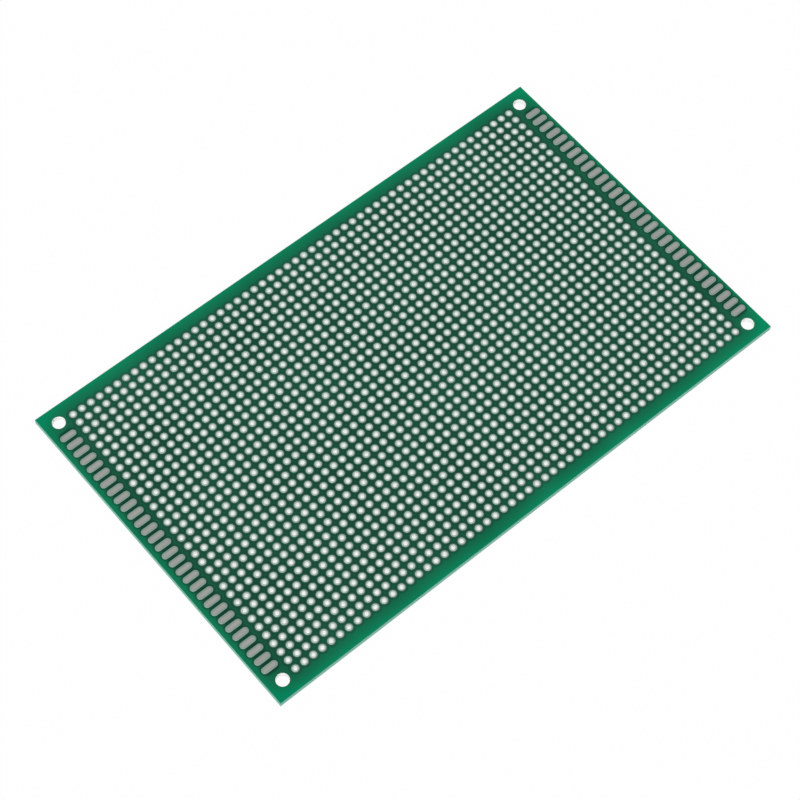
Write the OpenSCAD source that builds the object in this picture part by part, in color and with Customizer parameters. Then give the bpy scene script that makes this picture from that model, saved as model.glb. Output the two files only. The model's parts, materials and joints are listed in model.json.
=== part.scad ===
// Double-sided prototype board: a drilled glass-epoxy laminate with a grid of tinned
// plated-through holes on a 2.54 mm pitch, and tinned lands along both ends.
// All sizes are in millimetres. Origin: middle of the board in X and Y, and in Z the plane
// of the lowest tin, which the board rests on.

/* [Board] */
// Length along X
board_l = 150; // [149:0.5:152]
// Width along Y
board_w = 90; // [89:0.5:92]
// Thickness of the laminate between its two copper layers
laminate_t = 1.53; // [0.8:0.01:2.4]

/* [Hole grid] */
// Distance between neighbouring holes
pitch = 2.54; // [2.5:0.01:2.54]
// Holes in each row, along X
grid_cols = 54; // [10:2:54]
// Rows of holes, along Y
grid_rows = 33; // [9:2:33]
// Hole inside the plating
lead_hole_d = 1.0; // [0.8:0.05:1.2]
// Thickness of the plating on the wall of a hole
plating_t = 0.05; // [0.03:0.01:0.08]
// Diameter of the tinned land round the mouth of a hole
land_d = 1.86; // [1.7:0.02:2]
// Thickness of a land at its outer edge
land_rim_t = 0.035; // [0.02:0.005:0.04]
// Height of the tin at the mouth of a hole, above the laminate
land_crown_t = 0.07; // [0.05:0.005:0.07]

/* [End lands] */
// Lands along each end
end_land_count = 30; // [8:2:30]
// Length of an end land, along X
end_land_l = 4.25; // [3:0.05:4.4]
// Width of an end land, along Y
end_land_w = 1.7; // [1.2:0.05:1.8]
// Thickness of an end land, copper and tin together
end_land_t = 0.08; // [0.075:0.005:0.1]
// Distance from the middle of the hole grid to the middle of an end land
end_land_x = 71.75; // [71.5:0.05:72]
// How far both lines of end lands sit towards +X of their even places
end_land_shift = 0.25; // [0:0.05:0.3]

/* [Fixing holes] */
// Diameter of the corner holes
fixing_d = 3.2; // [2:0.1:3.4]
// Distance between corner holes, along X
fixing_dx = 142.3; // [141.8:0.1:142.8]
// Distance between corner holes, along Y
fixing_dy = 81.9; // [81.5:0.1:82.4]

/* [Hidden] */
// Depth by which a drill runs past each face of the laminate
past = 1;

bore_r = lead_hole_d / 2;
drill_r = bore_r + plating_t;
land_r = land_d / 2;
laminate_z = end_land_t;
laminate_top = laminate_z + laminate_t;

ROW_NODES = [for (row = [1:grid_rows]) str("plated_holes_row_", row < 10 ? "0" : "", row)];
$fn = 32;

// Place of one of count things in a line of equal steps, centred on zero
function place(index, count) = (index - (count - 1) / 2) * pitch;

module each_hole_of_row(row) {
    for (col = [0:grid_cols - 1])
        translate([place(col, grid_cols), place(row, grid_rows)]) children();
}

module each_fixing_hole() {
    for (side_x = [-1, 1], side_y = [-1, 1])
        translate([side_x * fixing_dx / 2, side_y * fixing_dy / 2]) children();
}

// Glass-epoxy sheet, drilled for the plated holes and for the four corner screws
module base_laminate() {
    drill_l = laminate_t + 2 * past;
    color("seagreen") difference() {
        translate([-board_l / 2, -board_w / 2, laminate_z]) cube([board_l, board_w, laminate_t]);
        translate([0, 0, laminate_z - past]) {
            for (row = [0:grid_rows - 1]) each_hole_of_row(row) cylinder(r = drill_r, h = drill_l);
            each_fixing_hole() cylinder(d = fixing_d, h = drill_l);
        }
    }
}

// Flat bar with round ends, lying on z = 0
module end_land() {
    run = end_land_l - end_land_w;
    linear_extrude(end_land_t) {
        square([run, end_land_w], center = true);
        for (end = [-1, 1]) translate([end * run / 2, 0]) circle(d = end_land_w);
    }
}

// The tinned lands along one end of one face: side is -1 or 1, and base_z is their underside
module end_lands(side, base_z) {
    color("gainsboro") for (index = [0:end_land_count - 1])
        translate([side * end_land_x + end_land_shift, place(index, end_land_count), base_z])
            end_land();
}

// One plated-through hole: a barrel through the laminate that turns out into a land on each
// face, with the tin rising from the land's rim to the mouth of the hole
module plated_hole() {
    rotate_extrude() polygon([
        [bore_r, -land_crown_t],
        [land_r, -land_rim_t],
        [land_r, 0],
        [drill_r, 0],
        [drill_r, laminate_t],
        [land_r, laminate_t],
        [land_r, laminate_t + land_rim_t],
        [bore_r, laminate_t + land_crown_t]
    ]);
}

// One row of the grid: row 0 is the row nearest to -Y
module plated_holes_row(row) {
    color("silver") translate([0, 0, laminate_z]) each_hole_of_row(row) plated_hole();
}

base_laminate();
end_lands(-1, laminate_top);  // end_lands_left_top
end_lands(-1, 0);  // end_lands_left_bottom
end_lands(1, laminate_top);  // end_lands_right_top
end_lands(1, 0);  // end_lands_right_bottom
for (row = [0:grid_rows - 1])
    plated_holes_row(row);
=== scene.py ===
# %% [markdown]
# # A double-sided prototype board
#
# The object is a bare board for trying out circuits: a sheet of woven glass and epoxy, drilled
# all over on a 2.54 mm grid, with a tinned copper land round each hole, a row of long lands at
# each end, and green solder mask on both faces. This file dresses its CAD model. The CAD
# nodes come in as a fixed frame, every size below is measured from them, and the pieces made
# here take their places without moving anything. All lengths are in metres.

# %% The frame and its sizes
import json
from math import cos, hypot, pi, radians, sin

import bmesh
import bpy
from mathutils import Matrix, Vector


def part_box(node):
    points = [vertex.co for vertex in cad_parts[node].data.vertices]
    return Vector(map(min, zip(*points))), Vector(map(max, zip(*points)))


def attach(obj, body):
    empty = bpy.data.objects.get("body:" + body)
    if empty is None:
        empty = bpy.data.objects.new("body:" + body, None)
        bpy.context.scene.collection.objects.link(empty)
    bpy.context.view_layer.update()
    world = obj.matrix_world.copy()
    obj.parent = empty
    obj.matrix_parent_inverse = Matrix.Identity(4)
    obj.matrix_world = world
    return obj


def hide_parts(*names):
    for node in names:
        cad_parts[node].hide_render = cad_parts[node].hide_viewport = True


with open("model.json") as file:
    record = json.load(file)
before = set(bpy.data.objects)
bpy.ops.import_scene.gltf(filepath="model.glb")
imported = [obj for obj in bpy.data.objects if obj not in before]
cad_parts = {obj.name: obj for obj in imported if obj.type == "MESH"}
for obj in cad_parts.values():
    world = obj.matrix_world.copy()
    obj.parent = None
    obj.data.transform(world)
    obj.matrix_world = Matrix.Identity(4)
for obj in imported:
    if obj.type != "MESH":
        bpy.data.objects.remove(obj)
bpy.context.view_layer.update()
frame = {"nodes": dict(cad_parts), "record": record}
MM = 0.001

board_low, board_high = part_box("base_laminate")
board_size = board_high - board_low
board_middle_z = (board_low.z + board_high.z) / 2
print("laminate, mm:", [round(side / MM, 2) for side in board_size])

# %% [markdown]
# ## Measuring the grid
#
# The rows of plated holes are CAD nodes of their own, one for each row. The step between two
# rows is the pitch of the whole grid, and the width of one row is the diameter of a land. The
# bore doesn't show in a box, so it is the shortest distance from the first hole's axis to any
# point of the row's mesh.

# %% Sizes of the holes and the lands
row_nodes = sorted(name for name in frame["nodes"] if name.startswith("plated_holes_row_"))
row_boxes = [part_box(name) for name in row_nodes]
row_ys = [(low.y + high.y) / 2 for low, high in row_boxes]
row_low, row_high = row_boxes[0]

pitch = (row_ys[-1] - row_ys[0]) / (len(row_ys) - 1)
land_r = (row_high.y - row_low.y) / 2
columns = round((row_high.x - row_low.x - 2 * land_r) / pitch) + 1
first_x = row_low.x + land_r
crown_h = row_high.z - board_high.z
row_points = frame["nodes"][row_nodes[0]].data.vertices
bore_r = min(hypot(point.co.x - first_x, point.co.y - row_ys[0]) for point in row_points)
print(f"{len(row_ys)} rows of {columns} holes, pitch {pitch / MM:.2f} mm,",
      f"bore {2 * bore_r / MM:.2f} mm, land {2 * land_r / MM:.2f} mm")

# %% Sizes of the end lands and the corner holes
END_SIDES = ("left", "right")
end_boxes = {side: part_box(f"end_lands_{side}_top") for side in END_SIDES}
end_low, end_high = end_boxes["left"]
end_l = end_high.x - end_low.x
end_count = int((end_high.y - end_low.y) / pitch) + 1
end_w = (end_high.y - end_low.y) - (end_count - 1) * pitch
end_t = end_high.z - end_low.z
end_xs = {side: (low.x + high.x) / 2 for side, (low, high) in end_boxes.items()}

mounts = {mount["name"]: mount for mount in frame["record"]["mounts"]}
corner = mounts["corner_holes"]["dims"]
corner_l, corner_w = corner["spacing_x_mm"] * MM, corner["spacing_y_mm"] * MM
corner_r = corner["hole_r_mm"] * MM
print(f"{end_count} end lands a side, {end_l / MM:.2f} x {end_w / MM:.2f} mm")

# %% [markdown]
# ## Building node trees in a script
#
# What repeats on this board is made by Geometry Nodes, and what looks alike is made by shader
# groups. Both kinds of tree are built the same way: name the sockets, add nodes, link them.
# These few helpers keep that readable. A value handed to `add` may be a plain number or the
# output of another node, and the helper does the right thing with each.

# %% Helpers for node trees
def new_tree(name, kind, inputs, outputs):
    """An empty node group, with the sockets of what it is given and of what it makes."""
    tree = bpy.data.node_groups.new(name, kind)
    for socket_name, socket_kind in inputs.items():
        tree.interface.new_socket(socket_name, in_out="INPUT", socket_type=socket_kind)
    for socket_name, socket_kind in outputs.items():
        tree.interface.new_socket(socket_name, in_out="OUTPUT", socket_type=socket_kind)
    return tree, tree.nodes.new("NodeGroupInput").outputs, tree.nodes.new("NodeGroupOutput").inputs


def add(tree, kind, inputs=None, **settings):
    """Adds a node, sets it up, and links or fills the inputs given by name or by number."""
    node = tree.nodes.new(kind)
    for setting, value in settings.items():
        setattr(node, setting, value)
    for key, value in (inputs or {}).items():
        if isinstance(value, bpy.types.NodeSocket):
            tree.links.new(value, node.inputs[key])
        else:
            node.inputs[key].default_value = value
    return node


def calc(tree, operation, first, second=0.0, third=0.0):
    """One step of arithmetic, in any kind of tree."""
    values = {0: first, 1: second, 2: third}
    return add(tree, "ShaderNodeMath", values, operation=operation).outputs[0]


# %% Helper that runs a Geometry Nodes tree
def grown(piece_name, tree, sizes, seed_mesh=None):
    """Runs a tree with the sizes given by socket name, and returns a plain mesh object."""
    mesh = seed_mesh or bpy.data.meshes.new(piece_name)
    piece = bpy.data.objects.new(piece_name, mesh)
    bpy.context.collection.objects.link(piece)
    modifier = piece.modifiers.new("growth", "NODES")
    modifier.node_group = tree
    for socket in tree.interface.items_tree:
        if socket.in_out == "INPUT" and socket.name in sizes:
            modifier[socket.identifier] = sizes[socket.name]
    evaluated = piece.evaluated_get(bpy.context.evaluated_depsgraph_get())
    piece.data = bpy.data.meshes.new_from_object(evaluated)
    piece.data.name = piece_name
    piece.modifiers.remove(modifier)
    return piece


def triangles(piece):
    """How many triangles a mesh object has."""
    return sum(len(face.vertices) - 2 for face in piece.data.polygons)


# %% [markdown]
# ## Surface effects shared by the materials
#
# Four effects come back in more than one place, so each is a shader group. The first tells
# how near a point is to the sides of the board. Light soaks into the glass and epoxy at the
# cut edges and comes out through the mask, and the mask's colour paints that glow in, so the
# board is painted brighter along its rim. The two ends can be given a smaller share of that
# painted glow, because the long lands there shade them.

# %% Shader group: nearness to the board's sides
def board_edge_group():
    """Glow falls from 1 at a side to a third at one reach from it; two sides add up."""
    tree, given, made = new_tree(
        "board_edge", "ShaderNodeTree",
        {"Position": "NodeSocketVector", "Half length": "NodeSocketFloat",
         "Half width": "NodeSocketFloat", "Reach": "NodeSocketFloat",
         "End share": "NodeSocketFloat"},
        {"Glow": "NodeSocketFloat"})
    axes = add(tree, "ShaderNodeSeparateXYZ", {0: given["Position"]}).outputs
    glows = []
    for axis, half, share in (("X", given["Half length"], given["End share"]),
                              ("Y", given["Half width"], 1.0)):
        inward = calc(tree, "SUBTRACT", half, calc(tree, "ABSOLUTE", axes[axis]))
        in_reaches = calc(tree, "DIVIDE", inward, given["Reach"])
        glow = calc(tree, "EXPONENT", calc(tree, "MULTIPLY", in_reaches, -1.0))
        glows.append(calc(tree, "MULTIPLY", glow, share))
    tree.links.new(calc(tree, "ADD", *glows), made["Glow"])
    return tree


board_edge = board_edge_group()
print("board edge nodes:", len(board_edge.nodes))

# %% [markdown]
# The second finds the nearest land of a regular set. The mask's colour uses it for a painted
# shade, a darker ring round each land, and for a painted highlight right at a round one. A round
# land is a point with a radius, and a long one is a short line with a radius, so one group
# serves both: it returns the distance from the middle line. The cell number is held within the
# set's limits, so the rings stop at the last land.

# %% Shader group: distance from the nearest land
def nearest_land_group():
    """Distance to the middle line of the nearest land, for a set centred on Middle X."""
    tree, given, made = new_tree(
        "nearest_land", "ShaderNodeTree",
        {"Position": "NodeSocketVector", "Middle X": "NodeSocketFloat",
         "Step X": "NodeSocketFloat", "Step Y": "NodeSocketFloat",
         "Last column": "NodeSocketFloat", "Last row": "NodeSocketFloat",
         "Half run": "NodeSocketFloat"},
        {"Distance": "NodeSocketFloat"})
    axes = add(tree, "ShaderNodeSeparateXYZ", {0: given["Position"]}).outputs
    from_middle = {"X": calc(tree, "SUBTRACT", axes["X"], given["Middle X"]), "Y": axes["Y"]}
    offsets = []
    for axis, last in (("X", given["Last column"]), ("Y", given["Last row"])):
        step = given[f"Step {axis}"]
        half_span = calc(tree, "MULTIPLY", last, 0.5)
        place = calc(tree, "ADD", calc(tree, "DIVIDE", from_middle[axis], step), half_span)
        whole = calc(tree, "ROUND", place)
        held = calc(tree, "MINIMUM", calc(tree, "MAXIMUM", whole, 0.0), last)
        offsets.append(calc(tree, "MULTIPLY", calc(tree, "SUBTRACT", place, held), step))
    past_run = calc(tree, "SUBTRACT", calc(tree, "ABSOLUTE", offsets[0]), given["Half run"])
    offset = add(tree, "ShaderNodeCombineXYZ", {
        "X": calc(tree, "MAXIMUM", past_run, 0.0), "Y": offsets[1]}).outputs[0]
    length = add(tree, "ShaderNodeVectorMath", {0: offset}, operation="LENGTH").outputs["Value"]
    tree.links.new(length, made["Distance"])
    return tree


nearest_land = nearest_land_group()
print("nearest land nodes:", len(nearest_land.nodes))

# %% [markdown]
# The third is the weave of the glass cloth. It has warp and weft bundles a little over half a
# millimetre apart, crossing at right angles, and shows faintly through the mask and on the
# bare laminate. Two waves at right angles, each bent a little by noise, make it.

# %% Shader group: glass weave
WEAVE_BUNDLES = 1700.0
BENDS_PER_METRE = 260.0
BEND = 4.0


def glass_weave_group():
    """Weave runs from 0 to 1; BEND is how far noise turns the waves, in radians."""
    tree, given, made = new_tree(
        "glass_weave", "ShaderNodeTree",
        {"Position": "NodeSocketVector", "Bundles per metre": "NodeSocketFloat"},
        {"Weave": "NodeSocketFloat"})
    waviness = add(tree, "ShaderNodeTexNoise",
                   {"Vector": given["Position"], "Scale": BENDS_PER_METRE,
                    "Detail": 2.0}).outputs["Fac"]
    axes = add(tree, "ShaderNodeSeparateXYZ", {0: given["Position"]}).outputs
    turns = calc(tree, "MULTIPLY", given["Bundles per metre"], 2 * pi)
    bundles = []
    for axis in ("X", "Y"):
        along = calc(tree, "MULTIPLY", axes[axis], turns)
        bent = calc(tree, "ADD", along, calc(tree, "MULTIPLY", waviness, BEND))
        bundles.append(calc(tree, "MULTIPLY_ADD", calc(tree, "SINE", bent), 0.25, 0.25))
    tree.links.new(calc(tree, "ADD", *bundles), made["Weave"])
    return tree


glass_weave = glass_weave_group()
print("glass weave nodes:", len(glass_weave.nodes))

# %% [markdown]
# The fourth is the skin of hot-dipped tin: a fine frost of crystals, with slow swells where the
# metal ran before it set. It gives a height for the bump, and a mask that the material uses for
# its colour and its roughness.

# %% Shader group: tin frost
CRYSTAL_HEIGHT = 0.15


def tin_frost_group():
    """Crystals and Swells are how many there are in a metre."""
    tree, given, made = new_tree(
        "tin_frost", "ShaderNodeTree",
        {"Position": "NodeSocketVector", "Crystals": "NodeSocketFloat",
         "Swells": "NodeSocketFloat"},
        {"Height": "NodeSocketFloat", "Dullness": "NodeSocketFloat"})
    crystals = add(tree, "ShaderNodeTexVoronoi",
                   {"Vector": given["Position"], "Scale": given["Crystals"]}).outputs["Distance"]
    swells = add(tree, "ShaderNodeTexNoise",
                 {"Vector": given["Position"], "Scale": given["Swells"],
                  "Detail": 3.0, "Roughness": 0.55}).outputs["Fac"]
    height = calc(tree, "MULTIPLY_ADD", crystals, CRYSTAL_HEIGHT, swells)
    tree.links.new(height, made["Height"])
    tree.links.new(swells, made["Dullness"])
    return tree


tin_frost = tin_frost_group()
print("tin frost nodes:", len(tin_frost.nodes))

# %% [markdown]
# A material is a tree as well, so the helpers above build it too. Four more make its usual
# steps short: start with a Principled shader and Object coordinates, place a shader group, mix
# two colours, and stretch a range. The shader itself always stays in the material.

# %% Helpers for materials
def new_material(name):
    """A material, its tree, its shader's inputs and the Object coordinates for patterns."""
    material = bpy.data.materials.new(name)
    material.use_nodes = True
    tree = material.node_tree
    position = add(tree, "ShaderNodeTexCoord").outputs["Object"]
    return material, tree, tree.nodes["Principled BSDF"].inputs, position


def effect(tree, group, inputs):
    """Places a shader group in a material's tree and returns its outputs."""
    return add(tree, "ShaderNodeGroup", inputs, node_tree=group).outputs


def blended(tree, amount, first, second, blend_type="MIX"):
    """Mixes two colours by an amount from 0 to 1."""
    node = add(tree, "ShaderNodeMix", data_type="RGBA", blend_type=blend_type)
    for key, value in (("Factor_Float", amount), ("A_Color", first), ("B_Color", second)):
        socket = next(item for item in node.inputs if item.identifier == key)
        if isinstance(value, bpy.types.NodeSocket):
            tree.links.new(value, socket)
        else:
            socket.default_value = value
    return next(item for item in node.outputs if item.identifier == "Result_Color")


def spread(tree, value, low, high, to_low=0.0, to_high=1.0):
    """Stretches the part of a value between low and high over a new range, and clips the rest."""
    return add(tree, "ShaderNodeMapRange",
               {"Value": value, "From Min": low, "From Max": high,
                "To Min": to_low, "To Max": to_high}).outputs["Result"]


# %% [markdown]
# ## Solder mask
#
# The mask is a screened and baked epoxy lacquer, about 25 micrometres thick. Its green has to
# do three things: grow brighter and purer towards the sides of the board, a painted glow of
# the light that soaks in at the cut edges; go dark round each land, a painted shade; and stay
# a little uneven, as a coat pulled with a squeegee does. A colour ramp on the edge glow gives
# the first. The distance to the nearest land gives the second: the painted shade deepens up to
# the land, and right at a round one a thin line is paler, a painted highlight. Slow noise with
# a trace of weave gives the third. The gloss is soft, with a slight orange peel.

# %% Material: solder mask
MASK_DEEP = (0.010, 0.086, 0.045, 1.0)
MASK_RIM_GLOW = (0.000, 0.240, 0.110, 1.0)
MASK_CORNER_GLOW = (0.000, 0.255, 0.115, 1.0)
MASK_PAINTED_SHADE = (0.001, 0.030, 0.018, 1.0)
MASK_PAINTED_HIGHLIGHT = (0.040, 0.120, 0.085, 1.0)
MASK_MARGIN = 0.07 * MM
mask_opening_r = land_r + MASK_MARGIN
end_opening_r = end_w / 2 + MASK_MARGIN

GLOW_REACH, GLOW_AT_ENDS = 2.8 * MM, 0.75
HOLE_HIGHLIGHT_REACH = 0.25 * MM
HOLE_SHADE_REACH, HOLE_SHADE_DEPTH = 0.7 * MM, 0.65
END_SHADE_REACH = 0.9 * MM
END_SHADE_SETBACK = 0.4 * MM
COAT_PATCHES, COAT_RANGE = 45.0, (0.3, 0.7)
COAT_SHADES, COAT_ROUGHNESS = (0.82, 1.08), (0.24, 0.36)
WEAVE_SHOWS = 0.10
PEEL_DIMPLES = 1600.0


def solder_mask_material():
    material, tree, shader, position = new_material("solder_mask")
    glow = effect(tree, board_edge, {
        "Position": position, "Half length": board_size.x / 2,
        "Half width": board_size.y / 2, "Reach": GLOW_REACH, "End share": GLOW_AT_ENDS})["Glow"]
    # Painted glow: the ramp paints the green brighter towards the sides, for light that soaks in
    # at the cut edges.
    ramp = add(tree, "ShaderNodeValToRGB", {"Fac": calc(tree, "MULTIPLY", glow, 0.5)})
    stops = ramp.color_ramp.elements
    stops[0].position, stops[0].color = 0.0, MASK_DEEP
    stops[1].position, stops[1].color = 1.0, MASK_CORNER_GLOW
    stops.new(0.5).color = MASK_RIM_GLOW

    from_hole = effect(tree, nearest_land, {
        "Position": position, "Step X": pitch, "Step Y": pitch,
        "Last column": columns - 1.0, "Last row": len(row_ys) - 1.0})["Distance"]
    from_end_land = effect(tree, nearest_land, {
        "Position": position, "Middle X": (end_xs["left"] + end_xs["right"]) / 2,
        "Step X": end_xs["right"] - end_xs["left"], "Step Y": pitch,
        "Last column": 1.0, "Last row": end_count - 1.0,
        "Half run": (end_l - end_w) / 2 - END_SHADE_SETBACK})["Distance"]
    # Painted shade: the green is painted darker in a ring round every land.
    end_shade = spread(tree, from_end_land, end_opening_r + END_SHADE_REACH, end_opening_r)
    hole_shade = spread(tree, from_hole, mask_opening_r + HOLE_SHADE_REACH, mask_opening_r,
                       0.0, HOLE_SHADE_DEPTH)
    # Painted highlight: a thin paler line right at each round land.
    hole_highlight = spread(tree, from_hole, mask_opening_r + HOLE_HIGHLIGHT_REACH, mask_opening_r)
    shaded = blended(tree, end_shade, ramp.outputs["Color"], MASK_PAINTED_SHADE)
    shaded = blended(tree, hole_shade, shaded, MASK_PAINTED_SHADE)
    shaded = blended(tree, hole_highlight, shaded, MASK_PAINTED_HIGHLIGHT)

    coat = add(tree, "ShaderNodeTexNoise",
               {"Vector": position, "Scale": COAT_PATCHES, "Detail": 4.0}).outputs["Fac"]
    weave = effect(tree, glass_weave, {
        "Position": position, "Bundles per metre": WEAVE_BUNDLES})["Weave"]
    unevenness = calc(tree, "MULTIPLY_ADD", weave, WEAVE_SHOWS,
                      spread(tree, coat, *COAT_RANGE, *COAT_SHADES))
    shade = add(tree, "ShaderNodeCombineColor",
                {"Red": unevenness, "Green": unevenness, "Blue": unevenness}).outputs["Color"]
    tree.links.new(blended(tree, 1.0, shaded, shade, "MULTIPLY"), shader["Base Color"])
    tree.links.new(spread(tree, coat, *COAT_RANGE, *COAT_ROUGHNESS), shader["Roughness"])
    shader["Specular IOR Level"].default_value = 0.06
    peel = add(tree, "ShaderNodeTexNoise",
               {"Vector": position, "Scale": PEEL_DIMPLES, "Detail": 2.0}).outputs["Fac"]
    bump = add(tree, "ShaderNodeBump",
               {"Strength": 0.15, "Distance": 0.01 * MM, "Height": peel}).outputs["Normal"]
    tree.links.new(bump, shader["Normal"])
    return material


solder_mask = solder_mask_material()
print("solder mask nodes:", len(solder_mask.node_tree.nodes))

# %% [markdown]
# ## Bare laminate
#
# Where the mask stops, the glass and epoxy itself shows: in a hair line round each land and
# along the sides of each face, on the walls of the corner holes, and on the four sawn sides.
# The sides are a pale, milky green and show the eight plies of cloth as faint lines, and the
# hair line beside them has the same colour. The walls of the corner holes are painted almost
# white, a painted light for the white floor that lights them from below. Elsewhere the faces
# lie in the shade of the mask, so there the same material is much darker; how level the
# surface lies tells them apart.

# %% Material: bare laminate
PLY_COUNT = 8
EPOXY_SAWN = (0.19, 0.47, 0.38, 1.0)
EPOXY_PLY = (0.14, 0.37, 0.29, 1.0)
# Painted light: the walls of the corner holes are painted almost white.
EPOXY_PAINTED_LIGHT_WALL = (0.93, 0.96, 0.94, 1.0)
EPOXY_UNDER_MASK = (0.060, 0.150, 0.110, 1.0)
PLY_WOBBLE = 2.5
SAWN_REACH, SAWN_FADE = 0.5 * MM, (0.6, 0.85)
SAWN_ROUGHNESS = (0.55, 0.75)
GLASS_GRAINS = 5200.0


def bare_laminate_material():
    material, tree, shader, position = new_material("bare_laminate")
    height = add(tree, "ShaderNodeSeparateXYZ", {0: position}).outputs["Z"]
    weave = effect(tree, glass_weave, {
        "Position": position, "Bundles per metre": WEAVE_BUNDLES})["Weave"]
    from_base = calc(tree, "SUBTRACT", height, board_low.z)
    plies = calc(tree, "MULTIPLY", from_base, 2 * pi * PLY_COUNT / board_size.z)
    lines = calc(tree, "SINE", calc(tree, "MULTIPLY_ADD", weave, PLY_WOBBLE, plies))
    sawn = blended(tree, spread(tree, lines, 0.2, 1.0), EPOXY_SAWN, EPOXY_PLY)
    at_side = spread(tree, effect(tree, board_edge, {
        "Position": position, "Half length": board_size.x / 2,
        "Half width": board_size.y / 2, "Reach": SAWN_REACH, "End share": 1.0})["Glow"],
        *SAWN_FADE)
    wall = blended(tree, at_side, EPOXY_PAINTED_LIGHT_WALL, sawn)
    flat = blended(tree, at_side, EPOXY_UNDER_MASK, sawn)
    normal = add(tree, "ShaderNodeNewGeometry").outputs["Normal"]
    level = calc(tree, "ABSOLUTE", add(tree, "ShaderNodeSeparateXYZ", {0: normal}).outputs["Z"])
    tree.links.new(blended(tree, level, wall, flat), shader["Base Color"])
    tree.links.new(spread(tree, weave, 0.0, 1.0, *SAWN_ROUGHNESS), shader["Roughness"])
    shader["Specular IOR Level"].default_value = 0.3
    grain = add(tree, "ShaderNodeTexNoise",
                {"Vector": position, "Scale": GLASS_GRAINS, "Detail": 3.0}).outputs["Fac"]
    bump = add(tree, "ShaderNodeBump",
               {"Strength": 0.3, "Distance": 0.02 * MM, "Height": grain}).outputs["Normal"]
    tree.links.new(bump, shader["Normal"])
    return material


bare_laminate = bare_laminate_material()
print("bare laminate nodes:", len(bare_laminate.node_tree.nodes))

# %% [markdown]
# ## Tin
#
# All copper that the mask leaves open is dipped in solder and levelled with hot air. The tin on
# the round lands sets as bright domes; on the long end lands it is wiped flatter and sets
# duller and warmer. Both are metals with the same frost, and no two lands are quite alike: the
# trees below write a random number called tin_shade for each land, which the material reads.
# Tin thins out at the rim of a round land and on the shoulder of a long one, and there its colour
# is painted darker and greener as well, a painted shade. So the meshes carry a second attribute,
# tin_cover, which is 1 where the tin is thick and falls to 0 at the thin, painted-shade rims.

# %% Material: tin
TIN_CRYSTALS, TIN_SWELLS, SWELL_RANGE = 9000.0, 1500.0, (0.25, 0.75)
OWN_SHARE = 0.6


def tin_material(name, bright, dull, bare, roughness, frost_strength):
    """OWN_SHARE of the way from bright to dull is each land's own, and the rest is frost."""
    material, tree, shader, position = new_material(name)
    frost = effect(tree, tin_frost, {
        "Position": position, "Crystals": TIN_CRYSTALS, "Swells": TIN_SWELLS})
    own_shade = add(tree, "ShaderNodeAttribute", attribute_name="tin_shade").outputs["Fac"]
    cover = add(tree, "ShaderNodeAttribute", attribute_name="tin_cover").outputs["Fac"]
    mixed = calc(tree, "MULTIPLY_ADD", own_shade, OWN_SHARE,
                 calc(tree, "MULTIPLY", frost["Dullness"], 1.0 - OWN_SHARE))
    tin = blended(tree, mixed, bright, dull)
    # Where tin_cover falls to 0 the colour goes to the third one: thin tin, painted darker as a
    # painted shade.
    tree.links.new(blended(tree, cover, bare, tin), shader["Base Color"])
    dulled = spread(tree, frost["Dullness"], *SWELL_RANGE, *roughness)
    tree.links.new(dulled, shader["Roughness"])
    shader["Metallic"].default_value = 1.0
    bump = add(tree, "ShaderNodeBump", {"Strength": frost_strength, "Distance": 0.012 * MM,
                                        "Height": frost["Height"]}).outputs["Normal"]
    tree.links.new(bump, shader["Normal"])
    return material


domed_tin = tin_material("domed_tin", (0.93, 0.99, 0.955, 1.0), (0.83, 0.91, 0.87, 1.0),
                         (0.28, 0.48, 0.40, 1.0), (0.28, 0.40), 0.35)
wiped_tin = tin_material("wiped_tin", (0.62, 0.61, 0.58, 1.0), (0.52, 0.51, 0.485, 1.0),
                         (0.38, 0.52, 0.455, 1.0), (0.36, 0.50), 0.5)
print("tin nodes:", len(domed_tin.node_tree.nodes))

# %% [markdown]
# ## Drilled sheets
#
# The laminate and its two coats of mask are the same job three times: cut a sheet to size, then
# take out one hole for each place on the grid, four for the corner screws and, from the mask
# only, a long opening for each end land. Modelling 1,782 holes by hand is out of the question.
# The tree instances one cutter on a grid of points and takes all of them away in a single
# boolean, as a drilling machine works through its list. Hidden edges get few sides: the
# laminate's drill holes lie under the lands, so eight are enough.

# %% Geometry Nodes: drilled sheet
CORNER_SIDES = 48
SLOT_CORNER_POINTS = 6
WELD = 0.001 * MM


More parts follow.
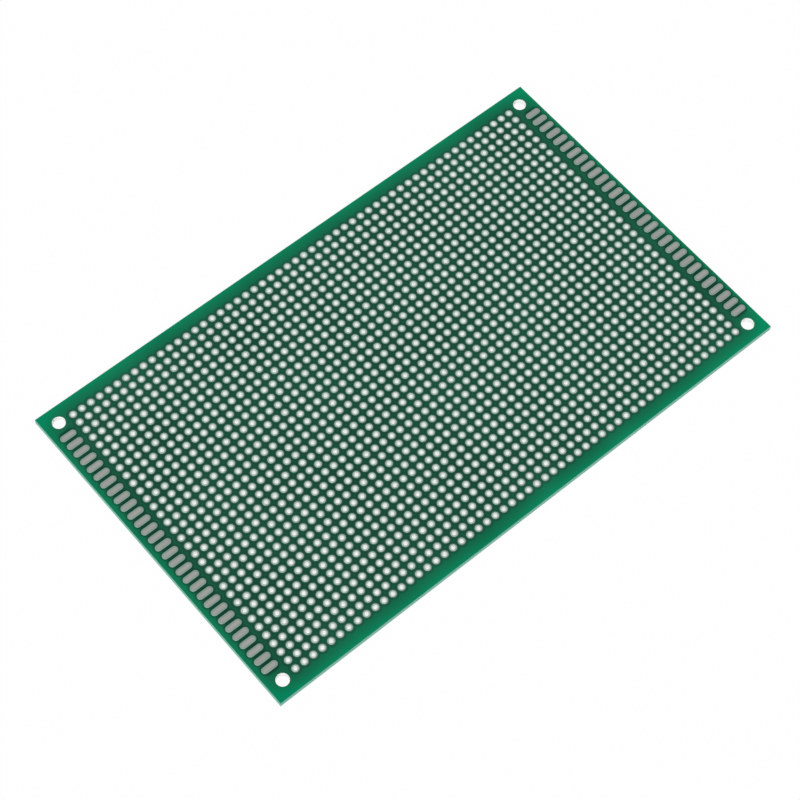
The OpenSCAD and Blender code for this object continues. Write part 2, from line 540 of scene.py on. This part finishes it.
def drilled_sheet_tree():
    sizes = ["Length", "Width", "Underside", "Thickness", "Pitch", "Hole radius",
             "Corner length", "Corner width", "Corner radius",
             "End land length", "End land width", "End middle", "End spacing"]
    counts = ["Columns", "Rows", "Hole sides", "End lands"]
    inputs = {name: "NodeSocketFloat" for name in sizes}
    inputs |= {name: "NodeSocketInt" for name in counts}
    inputs |= {"Material": "NodeSocketMaterial"}
    tree, given, made = new_tree("drilled_sheet", "GeometryNodeTree", inputs,
                                 {"Geometry": "NodeSocketGeometry"})
    tree.is_modifier = True

    # The cutters stand half as deep again as the sheet on each side of their middle.
    depth = calc(tree, "MULTIPLY", given["Thickness"], 3.0)

    def span(count):
        return calc(tree, "MULTIPLY", calc(tree, "SUBTRACT", count, 1.0), given["Pitch"])

    def cutters(cutter, size_x, size_y, count_x, count_y):
        points = add(tree, "GeometryNodeMeshGrid", {
            "Size X": size_x, "Size Y": size_y,
            "Vertices X": count_x, "Vertices Y": count_y}).outputs["Mesh"]
        return add(tree, "GeometryNodeInstanceOnPoints",
                   {"Points": points, "Instance": cutter}).outputs["Instances"]

    def drill(radius, sides):
        return add(tree, "GeometryNodeMeshCylinder", {
            "Vertices": sides, "Radius": radius, "Depth": depth}).outputs["Mesh"]

    holes = cutters(drill(given["Hole radius"], given["Hole sides"]),
                    span(given["Columns"]), span(given["Rows"]), given["Columns"], given["Rows"])
    corners = cutters(drill(given["Corner radius"], CORNER_SIDES),
                      given["Corner length"], given["Corner width"], 2, 2)

    # An end opening is a rectangle with fully rounded ends, filled and drawn out to a prism.
    outline = add(tree, "GeometryNodeCurvePrimitiveQuadrilateral", {
        "Width": given["End land length"], "Height": given["End land width"]}).outputs["Curve"]
    rounded = add(tree, "GeometryNodeFilletCurve", {
        "Curve": outline, "Count": SLOT_CORNER_POINTS, "Limit Radius": True,
        "Radius": given["End land width"]}, mode="POLY").outputs["Curve"]
    loop = add(tree, "GeometryNodeCurveToMesh", {"Curve": rounded}).outputs["Mesh"]
    welded = add(tree, "GeometryNodeMergeByDistance", {
        "Geometry": loop, "Distance": WELD}).outputs["Geometry"]
    curve = add(tree, "GeometryNodeMeshToCurve", {"Mesh": welded}).outputs["Curve"]
    face = add(tree, "GeometryNodeFillCurve", {"Curve": curve}, mode="NGONS").outputs["Mesh"]
    up = add(tree, "ShaderNodeCombineXYZ", {"Z": depth}).outputs[0]
    wall = add(tree, "GeometryNodeExtrudeMesh", {
        "Mesh": face, "Offset": up, "Offset Scale": 1.0, "Individual": False}).outputs["Mesh"]
    floor = add(tree, "GeometryNodeFlipFaces", {"Mesh": face}).outputs["Mesh"]
    both = add(tree, "GeometryNodeJoinGeometry")
    tree.links.new(wall, both.inputs[0])
    tree.links.new(floor, both.inputs[0])
    closed = add(tree, "GeometryNodeMergeByDistance", {
        "Geometry": both.outputs[0], "Distance": WELD}).outputs["Geometry"]
    down = add(tree, "ShaderNodeCombineXYZ", {"Z": calc(tree, "MULTIPLY", depth, -0.5)}).outputs[0]
    slot_cutter = add(tree, "GeometryNodeTransform", {
        "Geometry": closed, "Translation": down}).outputs["Geometry"]
    slots = cutters(slot_cutter, given["End spacing"], span(given["End lands"]),
                    2, given["End lands"])
    aside = add(tree, "ShaderNodeCombineXYZ", {"X": given["End middle"]}).outputs[0]
    placed_slots = add(tree, "GeometryNodeTransform", {
        "Geometry": slots, "Translation": aside}).outputs["Geometry"]

    joined = add(tree, "GeometryNodeJoinGeometry")
    for geometry in (holes, corners, placed_slots):
        tree.links.new(geometry, joined.inputs[0])
    all_cutters = add(tree, "GeometryNodeRealizeInstances", {
        "Geometry": joined.outputs[0]}).outputs["Geometry"]
    blank_size = add(tree, "ShaderNodeCombineXYZ", {
        "X": given["Length"], "Y": given["Width"], "Z": given["Thickness"]}).outputs[0]
    blank = add(tree, "GeometryNodeMeshCube", {"Size": blank_size}).outputs["Mesh"]
    drilled = add(tree, "GeometryNodeMeshBoolean", {
        "Mesh 1": blank, "Mesh 2": all_cutters},
        operation="DIFFERENCE", solver="MANIFOLD").outputs["Mesh"]
    middle = calc(tree, "MULTIPLY_ADD", given["Thickness"], 0.5, given["Underside"])
    lift = add(tree, "ShaderNodeCombineXYZ", {"Z": middle}).outputs[0]
    placed = add(tree, "GeometryNodeTransform", {
        "Geometry": drilled, "Translation": lift}).outputs["Geometry"]
    plain = add(tree, "GeometryNodeRealizeInstances", {"Geometry": placed}).outputs["Geometry"]
    finished = add(tree, "GeometryNodeSetMaterial", {
        "Geometry": plain, "Material": given["Material"]}).outputs["Geometry"]
    tree.links.new(finished, made["Geometry"])
    return tree


drilled_sheet = drilled_sheet_tree()
print("drilled sheet nodes:", len(drilled_sheet.nodes))

# %% Laminate
LAND_SIDES, LAMINATE_DRILL_SIDES = 12, 8
PLATING_T = 0.05 * MM
sheet_sizes = {
    "Length": board_size.x, "Width": board_size.y, "Pitch": pitch,
    "Columns": columns, "Rows": len(row_ys),
    "Corner length": corner_l, "Corner width": corner_w}
laminate = grown("laminate", drilled_sheet, sheet_sizes | {
    "Underside": board_low.z, "Thickness": board_size.z,
    "Hole radius": bore_r + PLATING_T, "Hole sides": LAMINATE_DRILL_SIDES,
    "Corner radius": corner_r, "Material": bare_laminate})
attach(laminate, "root")
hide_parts("base_laminate")
print("laminate triangles:", triangles(laminate))

# %% [markdown]
# ## Coats of mask
#
# Each coat is a real sheet with its own thickness, so its edge stands up round every land. The
# openings are a little larger than the lands, because the film that exposes the mask is never
# laid down perfectly, and the end openings follow the lands' round ends. The coat also stops
# just short of the sides, where the saw has taken it off.

# %% Solder mask on both faces
MASK_T = 0.025 * MM
MASK_SETBACK = 0.06 * MM
for face, underside in (("top", board_high.z), ("bottom", board_low.z - MASK_T)):
    coat = grown(f"solder_mask_{face}", drilled_sheet, sheet_sizes | {
        "Length": board_size.x - 2 * MASK_SETBACK, "Width": board_size.y - 2 * MASK_SETBACK,
        "Underside": underside, "Thickness": MASK_T,
        "Hole radius": mask_opening_r, "Hole sides": LAND_SIDES,
        "Corner radius": corner_r + MASK_MARGIN,
        "End lands": end_count,
        "End land length": end_l + 2 * MASK_MARGIN, "End land width": end_w + 2 * MASK_MARGIN,
        "End middle": (end_xs["left"] + end_xs["right"]) / 2,
        "End spacing": end_xs["right"] - end_xs["left"],
        "Material": solder_mask})
    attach(coat, "root")
    print(f"solder mask {face} triangles:", triangles(coat))

# %% [markdown]
# ## Lofting a small shape
#
# A plated hole and an end land are both a stack of rings: circles for the hole, round-ended bars
# for the land. One helper joins each ring to the next with quads. The hole's last ring meets its
# first again, because the tin runs down the bore and back up outside it; the land is closed
# with a face at each end. Only one of each is made here, and the trees repeat them.

# %% Helper that lofts rings of points
SHARP_FROM = radians(35)


def lofted(name, rings, covers, comes_round):
    """A closed mesh through rings of equal length, each with its tin_cover, normals outwards."""
    shape = bmesh.new()
    tin_cover = shape.verts.layers.float.new("tin_cover")
    loops = [[shape.verts.new(point) for point in ring] for ring in rings]
    for loop, cover in zip(loops, covers):
        for vert in loop:
            vert[tin_cover] = cover
    pairs = list(zip(loops, loops[1:]))
    if comes_round:
        pairs.append((loops[-1], loops[0]))
    else:
        shape.faces.new(loops[0])
        shape.faces.new(loops[-1])
    count = len(rings[0])
    for near, far in pairs:
        for index in range(count):
            after = (index + 1) % count
            shape.faces.new((near[index], near[after], far[after], far[index]))
    bmesh.ops.recalc_face_normals(shape, faces=shape.faces)
    mesh = bpy.data.meshes.new(name)
    shape.to_mesh(mesh)
    shape.free()
    mesh.shade_smooth()
    mesh.set_sharp_from_angle(angle=SHARP_FROM)
    return mesh


# %% One plated hole
def circle_ring(radius, z):
    """Points round a circle, starting where the mask's openings start."""
    steps = [2 * pi * index / LAND_SIDES for index in range(LAND_SIDES)]
    return [(radius * cos(angle), radius * sin(angle), z) for angle in steps]


MOUTH_HEIGHT = 0.60 * crown_h
CREST_R = bore_r + 0.45 * (land_r - bore_r)
CREST_HEIGHT = 0.78 * crown_h
CREST_COVER = 0.8


def plated_hole_mesh():
    """One hole, about the middle of the laminate: the tin swells between mouth and rim."""
    half = board_size.z / 2
    upper = [
        (bore_r, half + MOUTH_HEIGHT, 1.0),
        (CREST_R, half + CREST_HEIGHT, CREST_COVER),
        (land_r, half, 0.0),
        (bore_r + PLATING_T, half, 0.0)]
    section = upper + [(radius, -z, cover) for radius, z, cover in reversed(upper)]
    rings = [circle_ring(radius, z) for radius, z, cover in section]
    return lofted("plated_hole", rings, [cover for radius, z, cover in section], True)


one_hole = plated_hole_mesh()
print("faces of one plated hole:", len(one_hole.polygons))

# %% [markdown]
# ## Rows of plated holes
#
# Each row of the grid is one piece, as each is one CAD node. The tree takes the single hole as
# its own geometry, sets it on a line of points, and gives every hole a random lean and shade
# before the copies become real. Then only the crowns are tipped: the rims stay on the laminate
# and the bores stay round, but each dome catches the light in its own way, as hot tin does.

# %% Geometry Nodes: a line of lands
SHADE_SEED_STEP = 1000.0


def line_of_lands_tree():
    tree, given, made = new_tree(
        "line_of_lands", "GeometryNodeTree",
        {"Geometry": "NodeSocketGeometry", "Count": "NodeSocketInt", "Start": "NodeSocketVector",
         "Step": "NodeSocketVector", "Turn": "NodeSocketVector", "Flat half": "NodeSocketFloat",
         "Crown": "NodeSocketFloat", "Lean": "NodeSocketFloat", "Seed": "NodeSocketInt",
         "Material": "NodeSocketMaterial"},
        {"Geometry": "NodeSocketGeometry"})
    tree.is_modifier = True
    points = add(tree, "GeometryNodeMeshLine", {
        "Count": given["Count"], "Start Location": given["Start"],
        "Offset": given["Step"]}).outputs["Mesh"]

    def stored(geometry, name, data_type, value):
        return add(tree, "GeometryNodeStoreNamedAttribute", {
            "Geometry": geometry, "Name": name, "Value": value},
            data_type=data_type, domain="POINT").outputs["Geometry"]

    def recalled(name, data_type):
        return add(tree, "GeometryNodeInputNamedAttribute", {"Name": name},
                   data_type=data_type).outputs["Attribute"]

    lean = add(tree, "FunctionNodeRandomValue", {
        0: (-1.0, -1.0, 0.0), 1: (1.0, 1.0, 0.0), "Seed": given["Seed"]},
        data_type="FLOAT_VECTOR").outputs[0]
    shade = add(tree, "FunctionNodeRandomValue", {
        2: 0.0, 3: 1.0, "Seed": calc(tree, "ADD", given["Seed"], SHADE_SEED_STEP)},
        data_type="FLOAT").outputs[1]
    middle = add(tree, "GeometryNodeInputPosition").outputs[0]
    marked = stored(points, "lean", "FLOAT_VECTOR", lean)
    marked = stored(marked, "land_middle", "FLOAT_VECTOR", middle)
    marked = stored(marked, "tin_shade", "FLOAT", shade)
    copies = add(tree, "GeometryNodeInstanceOnPoints", {
        "Points": marked, "Instance": given["Geometry"],
        "Rotation": given["Turn"]}).outputs["Instances"]
    real = add(tree, "GeometryNodeRealizeInstances", {"Geometry": copies}).outputs["Geometry"]

    position = add(tree, "GeometryNodeInputPosition").outputs[0]
    local = add(tree, "ShaderNodeVectorMath", {
        0: position, 1: recalled("land_middle", "FLOAT_VECTOR")},
        operation="SUBTRACT").outputs["Vector"]
    height = calc(tree, "ABSOLUTE", add(tree, "ShaderNodeSeparateXYZ", {0: local}).outputs["Z"])
    above = calc(tree, "SUBTRACT", height, given["Flat half"])
    crown_share = add(tree, "ShaderNodeMapRange", {
        "Value": calc(tree, "DIVIDE", above, given["Crown"])}).outputs["Result"]
    tip = add(tree, "ShaderNodeVectorMath", {
        0: local, 1: recalled("lean", "FLOAT_VECTOR")},
        operation="DOT_PRODUCT").outputs["Value"]
    rise = calc(tree, "MULTIPLY", calc(tree, "MULTIPLY", tip, given["Lean"]), crown_share)
    offset = add(tree, "ShaderNodeCombineXYZ", {"Z": rise}).outputs[0]
    leaning = add(tree, "GeometryNodeSetPosition", {
        "Geometry": real, "Offset": offset}).outputs["Geometry"]
    for name in ("lean", "land_middle"):
        leaning = add(tree, "GeometryNodeRemoveAttribute", {
            "Geometry": leaning, "Name": name}).outputs["Geometry"]
    finished = add(tree, "GeometryNodeSetMaterial", {
        "Geometry": leaning, "Material": given["Material"]}).outputs["Geometry"]
    tree.links.new(finished, made["Geometry"])
    return tree


line_of_lands = line_of_lands_tree()
print("line of lands nodes:", len(line_of_lands.nodes))

# %% Plated holes, row by row
HOLE_LEAN = 0.02
FULL_LEAN_HEIGHT = 0.45 * crown_h
hole_triangles = 0
for number, (node, y) in enumerate(zip(row_nodes, row_ys), start=1):
    row = grown(f"tinned_holes_{number:02d}", line_of_lands, {
        "Count": columns, "Start": (first_x, y, board_middle_z), "Step": (pitch, 0.0, 0.0),
        "Flat half": board_size.z / 2, "Crown": FULL_LEAN_HEIGHT, "Lean": HOLE_LEAN,
        "Seed": number, "Material": domed_tin}, seed_mesh=one_hole)
    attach(row, "root")
    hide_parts(node)
    hole_triangles += triangles(row)
print(f"{len(row_nodes)} rows of plated holes, {hole_triangles} triangles in all")

# %% [markdown]
# ## End lands
#
# The long lands at the ends take clips or edge connectors. Hot air leaves their tin flat in the
# middle with a soft raised shoulder all round, so the section climbs from the laminate to the
# shoulder and dips slightly again. Rings of the same round-ended bar, each set in a little
# further, draw that section.

# %% One end land
END_ARC_STEPS = 6


def bar_ring(inset, z):
    """Points round a bar with round ends, drawn in from the land's outline by the inset."""
    radius = end_w / 2 - inset
    run = (end_l - end_w) / 2
    ring = []
    for side, start in ((1, -pi / 2), (-1, pi / 2)):
        for step in range(END_ARC_STEPS + 1):
            angle = start + pi * step / END_ARC_STEPS
            ring.append((side * run + radius * cos(angle), radius * sin(angle), z))
    return ring


def end_land_mesh():
    """One land, lying on z = 0. Its section lists inset, height and tin_cover."""
    section = [(0.0, 0.0, 0.0), (0.03 * MM, 0.5 * end_t, 0.0), (0.16 * MM, 0.80 * end_t, 0.0),
               (0.34 * MM, end_t, 0.0), (0.54 * MM, 0.95 * end_t, 1.0)]
    rings = [bar_ring(inset, z) for inset, z, cover in section]
    return lofted("end_land", rings, [cover for inset, z, cover in section], False)


one_end_land = end_land_mesh()
print("faces of one end land:", len(one_end_land.polygons))

# %% The four lines of end lands
END_SEED = 100
for side_number, side in enumerate(END_SIDES):
    for face, z, turn in (("top", board_high.z, 0.0), ("bottom", board_low.z, pi)):
        start = (end_xs[side], -(end_count - 1) / 2 * pitch, z)
        lands = grown(f"tinned_end_lands_{side}_{face}", line_of_lands, {
            "Count": end_count, "Start": start, "Step": (0.0, pitch, 0.0),
            "Turn": (turn, 0.0, 0.0), "Crown": end_t, "Lean": 0.0,
            "Seed": END_SEED + side_number, "Material": wiped_tin}, seed_mesh=one_end_land)
        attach(lands, "root")
        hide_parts(f"end_lands_{side}_{face}")
print("end lands:", 4 * end_count)

# %% [markdown]
# ## Light
#
# Tin shows what is round it, and mask shows almost nothing, so the light is laid out for the tin.
# The board lies in a tent of white cloth: the tent is bright low down, where the far slopes of
# the domes and every view from the side mirror it, and dimmer high up, where the flat tin
# mirrors it. Two wide soft lamps stand outside the tent on the viewer's side, where the near
# slopes mirror them. Sun lamps with a wide angle act as softboxes of any size. All the light
# adds up to about one, so that a colour renders as it is written.

# %% Lamps
def soft_lamp(name, compass, elevation, width, brightness):
    """A sun lamp as wide as the angle given, whose disc has the brightness given."""
    lamp = bpy.data.lights.new(name, "SUN")
    lamp.angle = radians(width)
    lamp.energy = brightness * pi * sin(radians(width) / 2) ** 2
    holder = bpy.data.objects.new(name, lamp)
    bpy.context.collection.objects.link(holder)
    turn, tilt = radians(compass), radians(elevation)
    towards = Vector((cos(turn) * cos(tilt), sin(turn) * cos(tilt), sin(tilt)))
    holder.rotation_euler = towards.to_track_quat("Z", "Y").to_euler()
    print(f"{name}: adds {lamp.energy * sin(tilt) / pi:.2f} to a level surface")


soft_lamp("key_softbox", 196.0, 45.0, 80.0, 1.10)
soft_lamp("near_softbox", 262.0, 40.0, 60.0, 0.30)

# %% The tent
TENT_LOW = (0.70, 0.70, 0.70, 1.0)
TENT_HIGH = (0.48, 0.48, 0.475, 1.0)
LOW_ENDS, HIGH_STARTS = sin(radians(24)), sin(radians(66))
world = bpy.data.worlds.new("tent")
bpy.context.scene.world = world
world.use_nodes = True
tent_tree = world.node_tree
tent_tree.nodes.clear()
towards_tent = add(tent_tree, "ShaderNodeTexCoord").outputs["Generated"]
height_in_tent = add(tent_tree, "ShaderNodeSeparateXYZ", {0: towards_tent}).outputs["Z"]
cloth = add(tent_tree, "ShaderNodeValToRGB", {"Fac": height_in_tent})
for stop, place, colour in zip(cloth.color_ramp.elements, (LOW_ENDS, HIGH_STARTS),
                               (TENT_LOW, TENT_HIGH)):
    stop.position, stop.color = place, colour
lit = add(tent_tree, "ShaderNodeBackground", {
    "Color": cloth.outputs["Color"], "Strength": 1.0}).outputs[0]
white = add(tent_tree, "ShaderNodeBackground", {
    "Color": (1.0, 1.0, 1.0, 1.0), "Strength": 1.0}).outputs[0]
seen = add(tent_tree, "ShaderNodeLightPath").outputs["Is Camera Ray"]
either = add(tent_tree, "ShaderNodeMixShader", {0: seen, 1: lit, 2: white}).outputs[0]
add(tent_tree, "ShaderNodeOutputWorld", {"Surface": either})
print("tent:", TENT_LOW[1], "low down and", TENT_HIGH[1], "high up")

# %% [markdown]
# ## Floor
#
# The floor is a wide white sheet. To the camera, and in mirrors and through holes, most of its
# light is its own, so that it stays white right under the board and shines up through the
# bores; the rest is lit in the ordinary way, which keeps the board's shadow.

# %% Floor
FLOOR_OWN_LIGHT = 0.95
FLOOR_PAPER = (0.93, 0.93, 0.93, 1.0)


def floor_material():
    material = bpy.data.materials.new("white_floor")
    material.use_nodes = True
    tree = material.node_tree
    tree.nodes.clear()
    rays = add(tree, "ShaderNodeLightPath").outputs
    direct = calc(tree, "MAXIMUM", rays["Is Camera Ray"], rays["Is Glossy Ray"])
    direct = calc(tree, "MAXIMUM", direct, rays["Is Transmission Ray"])
    own = calc(tree, "MULTIPLY", direct, FLOOR_OWN_LIGHT)
    paper = add(tree, "ShaderNodeBsdfDiffuse", {"Color": FLOOR_PAPER}).outputs[0]
    shine = add(tree, "ShaderNodeEmission", {
        "Color": (1.0, 1.0, 1.0, 1.0), "Strength": 1.0}).outputs[0]
    surface = add(tree, "ShaderNodeMixShader", {0: own, 1: paper, 2: shine}).outputs[0]
    add(tree, "ShaderNodeOutputMaterial", {"Surface": surface})
    return material


FLOOR_SIZE = 6.0
floor_mesh = bpy.data.meshes.new("floor")
floor_shape = bmesh.new()
bmesh.ops.create_grid(floor_shape, x_segments=1, y_segments=1, size=FLOOR_SIZE / 2)
floor_shape.to_mesh(floor_mesh)
floor_shape.free()
floor_mesh.materials.append(floor_material())
floor = bpy.data.objects.new("floor", floor_mesh)
bpy.context.collection.objects.link(floor)
print("floor, m:", FLOOR_SIZE, "square")

# %% [markdown]
# ## Camera
#
# The camera looks down over one corner of the board with a long lens, so the perspective is
# slight. Its place follows from the point that it looks at on the top face, two angles and a
# distance. The last turn is a small roll about the line of sight.

# %% Camera
AIM = Vector((-6.44 * MM, -4.25 * MM, board_high.z + 0.05 * MM))
LOOK_COMPASS, LOOK_DOWN, ROLL = radians(46.09), radians(61.53), radians(4.11)
DISTANCE = 542.1 * MM
LENS_MM, SENSOR_MM = 104.82, 36.0
forward = Vector((cos(LOOK_COMPASS) * cos(LOOK_DOWN), sin(LOOK_COMPASS) * cos(LOOK_DOWN),
                  -sin(LOOK_DOWN)))
level_right = forward.cross(Vector((0.0, 0.0, 1.0))).normalized()
level_up = level_right.cross(forward)
right = cos(ROLL) * level_right + sin(ROLL) * level_up
up = cos(ROLL) * level_up - sin(ROLL) * level_right
lens = bpy.data.cameras.new("camera")
lens.lens = LENS_MM
lens.sensor_width = SENSOR_MM
camera = bpy.data.objects.new("camera", lens)
bpy.context.collection.objects.link(camera)
camera.matrix_world = Matrix.Translation(AIM - DISTANCE * forward) @ Matrix(
    (right, up, -forward)).transposed().to_4x4()
bpy.context.scene.camera = camera
bpy.context.scene.view_settings.view_transform = "Standard"
print("camera, mm:", [round(part / MM) for part in camera.matrix_world.translation])
